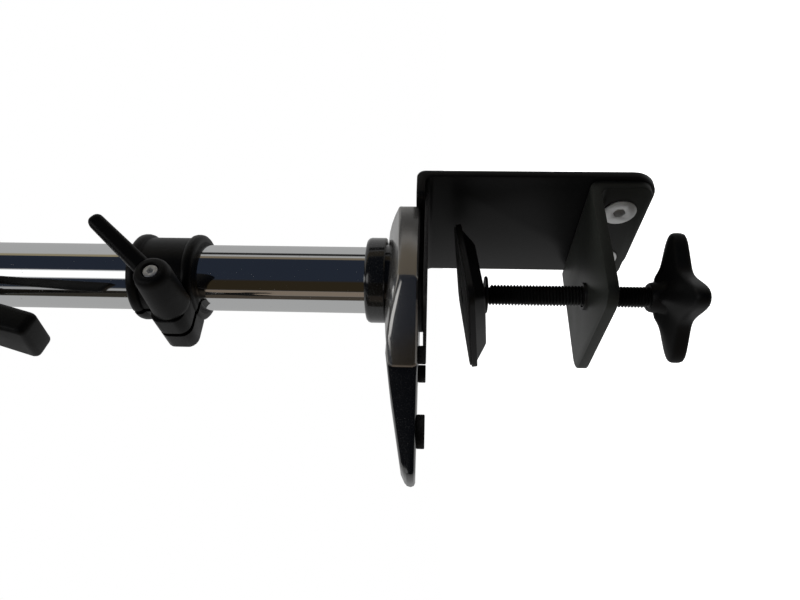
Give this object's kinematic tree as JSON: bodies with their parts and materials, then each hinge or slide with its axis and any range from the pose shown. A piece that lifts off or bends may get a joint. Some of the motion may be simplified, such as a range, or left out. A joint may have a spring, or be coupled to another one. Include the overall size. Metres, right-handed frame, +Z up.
{
  "type": "monitor arm",
  "caption": "Clamp-on desk monitor arm: chromed pole on a screw clamp, lever-locked collar and sleeve, folding two-link arm and a tilting, turning square mounting plate.",
  "frame": {"origin": "on the pole's axis, in the plane of the desk top under the desk pad", "axes": "+Z up along the pole; -Y from the desk's edge over the desk, the way the foot and the arm point; +X the side of both clamp levers"},
  "size_m": [0.115, 0.5405, 0.526],
  "materials": {
    "bracket_paint": "semi-gloss black powder coat",
    "jaw_paint": "semi-gloss dark powder coat",
    "bright_zinc": "bright zinc plate",
    "dark_screw_steel": "black oxide, oiled",
    "spring_steel": "plain spring steel",
    "pad_rubber": "dense black foam rubber",
    "knob_plastic": "fine grained black",
    "press_paint": "semi-gloss black",
    "silver_cover": "silver-grey lacquer",
    "base_black": "gloss black",
    "ring_black": "polished black",
    "pole_chrome": "polished chrome plate",
    "inner_plastic": "natural grey acetal",
    "liner_plastic": "black acetal",
    "cap_plastic": "black",
    "collar_black": "semi-gloss black",
    "lever_plastic": "fine grained black nylon",
    "arm_paint": "semi-gloss black powder coat",
    "bush_plastic": "natural acetal",
    "pin_steel": "ground steel",
    "clip_plastic": "black nylon",
    "plate_paint": "semi-gloss black powder coat"
  },
  "bodies": {
    "base": {"clamp_bracket": "bracket_paint", "jaw_bracket": "jaw_paint", "jaw_screws": "bright_zinc", "jaw_nuts": "bright_zinc", "thread_nut": "bright_zinc", "desk_pad": "pad_rubber", "base_cover": "silver_cover", "base_body": "base_black", "foot_pads": "pad_rubber", "base_screws": "bright_zinc", "pole_ring": "ring_black", "pole": "pole_chrome", "pole_plug": "inner_plastic", "pole_bolt": "bright_zinc", "pole_cap": "cap_plastic"},
    "screw_carriage": {"thrust_washer": "bright_zinc"},
    "clamp_screw": {"clamp_screw": "dark_screw_steel", "knob": "knob_plastic", "knob_insert": "dark_screw_steel", "knob_cap": "knob_plastic"},
    "press_plate": {"press_plate": "press_paint", "press_pad": "pad_rubber", "ball_retainer": "bright_zinc"},
    "collar_guide": {"collar_liner": "liner_plastic"},
    "height_collar": {"height_collar": "collar_black", "collar_nut": "bright_zinc"},
    "collar_lever_hub": {"lever_insert": "dark_screw_steel", "lever_screw": "bright_zinc", "lever_spring": "spring_steel"},
    "collar_lever": {"lever_handle": "lever_plastic"},
    "sleeve_guide": {"sleeve_liner": "liner_plastic"},
    "arm_sleeve": {"arm_sleeve": "arm_paint", "sleeve_nut": "bright_zinc", "shoulder_bushes": "bush_plastic"},
    "sleeve_lever_hub": {"sleeve_lever_insert": "dark_screw_steel", "sleeve_lever_screw": "bright_zinc", "sleeve_lever_spring": "spring_steel"},
    "sleeve_lever": {"sleeve_lever_handle": "lever_plastic"},
    "inner_arm": {"inner_arm": "arm_paint", "shoulder_pin": "pin_steel", "shoulder_caps": "cap_plastic", "inner_cable_clip": "clip_plastic", "elbow_bushes": "bush_plastic"},
    "outer_arm": {"outer_arm": "arm_paint", "elbow_pin": "pin_steel", "elbow_caps": "cap_plastic", "outer_cable_clip": "clip_plastic", "wrist_bushes": "bush_plastic"},
    "head_yoke": {"head_yoke": "arm_paint", "wrist_pin": "pin_steel", "wrist_caps": "cap_plastic", "tilt_bolt": "dark_screw_steel", "tilt_nut": "bright_zinc", "tilt_washers": "bright_zinc"},
    "tilt_block": {"tilt_block": "arm_paint", "turn_disc": "pin_steel", "turn_hub": "bush_plastic"},
    "monitor_plate": {"monitor_plate": "plate_paint"}
  },
  "joints": [
    {"name": "screw_turn", "type": "hinge", "parent": "screw_carriage", "child": "clamp_screw", "pos_m": [0, -0.0073, -0.05], "axis": [0, 0, 1], "range_deg": [-10080, 2160]},
    {"name": "screw_travel", "type": "slide", "parent": "base", "child": "screw_carriage", "axis": [0, 0, 1], "range_m": [-0.042, 0.009]},
    {"name": "press_tilt", "type": "hinge", "parent": "screw_carriage", "child": "press_plate", "pos_m": [0, -0.0073, -0.0224], "axis": [0.8387, -0.5446, 0], "range_deg": [-15, 2]},
    {"name": "collar_slide", "type": "slide", "parent": "base", "child": "collar_guide", "axis": [0, 0, 1], "range_m": [-0.07, 0.001]},
    {"name": "collar_turn", "type": "hinge", "parent": "collar_guide", "child": "height_collar", "pos_m": [0, 0, 0.12], "axis": [0, 0, 1], "continuous": true},
    {"name": "collar_lever_turn", "type": "hinge", "parent": "height_collar", "child": "collar_lever_hub", "pos_m": [0.0115, -0.0235, 0.1156], "axis": [1, 0, 0], "range_deg": [-50, 50]},
    {"name": "collar_lever_lift", "type": "slide", "parent": "collar_lever_hub", "child": "collar_lever", "axis": [1, 0, 0], "range_m": [0, 0.0028], "stiffness_N_per_m": 500, "springref_m": -0.001},
    {"name": "sleeve_slide", "type": "slide", "parent": "base", "child": "sleeve_guide", "axis": [0, 0, 1], "range_m": [-0.001, 0.13]},
    {"name": "sleeve_turn", "type": "hinge", "parent": "sleeve_guide", "child": "arm_sleeve", "pos_m": [0, 0, 0.24], "axis": [0, 0, 1], "continuous": true},
    {"name": "sleeve_lever_turn", "type": "hinge", "parent": "arm_sleeve", "child": "sleeve_lever_hub", "pos_m": [0.029, -0.0115, 0.2305], "axis": [0, 1, 0], "range_deg": [-40, 40]},
    {"name": "sleeve_lever_lift", "type": "slide", "parent": "sleeve_lever_hub", "child": "sleeve_lever", "axis": [0, -1, 0], "range_m": [0, 0.0028], "stiffness_N_per_m": 500, "springref_m": -0.001},
    {"name": "shoulder_turn", "type": "hinge", "parent": "arm_sleeve", "child": "inner_arm", "pos_m": [0, -0.05, 0.254], "axis": [0, 0, 1], "range_deg": [-90, 90]},
    {"name": "elbow_turn", "type": "hinge", "parent": "inner_arm", "child": "outer_arm", "pos_m": [0, -0.25, 0.254], "axis": [0, 0, 1], "range_deg": [-110, 110]},
    {"name": "wrist_turn", "type": "hinge", "parent": "outer_arm", "child": "head_yoke", "pos_m": [0, -0.42, 0.254], "axis": [0, 0, 1], "range_deg": [-90, 90]},
    {"name": "head_tilt", "type": "hinge", "parent": "head_yoke", "child": "tilt_block", "pos_m": [0, -0.462, 0.254], "axis": [1, 0, 0], "range_deg": [-45, 45]},
    {"name": "plate_turn", "type": "hinge", "parent": "tilt_block", "child": "monitor_plate", "pos_m": [0, -0.487, 0.254], "axis": [0, -1, 0], "range_deg": [-90, 90]}
  ],
  "couplings": [
    {"joint": "screw_turn", "follows": "screw_travel", "rad_per_m": 4188.8}
  ]
}
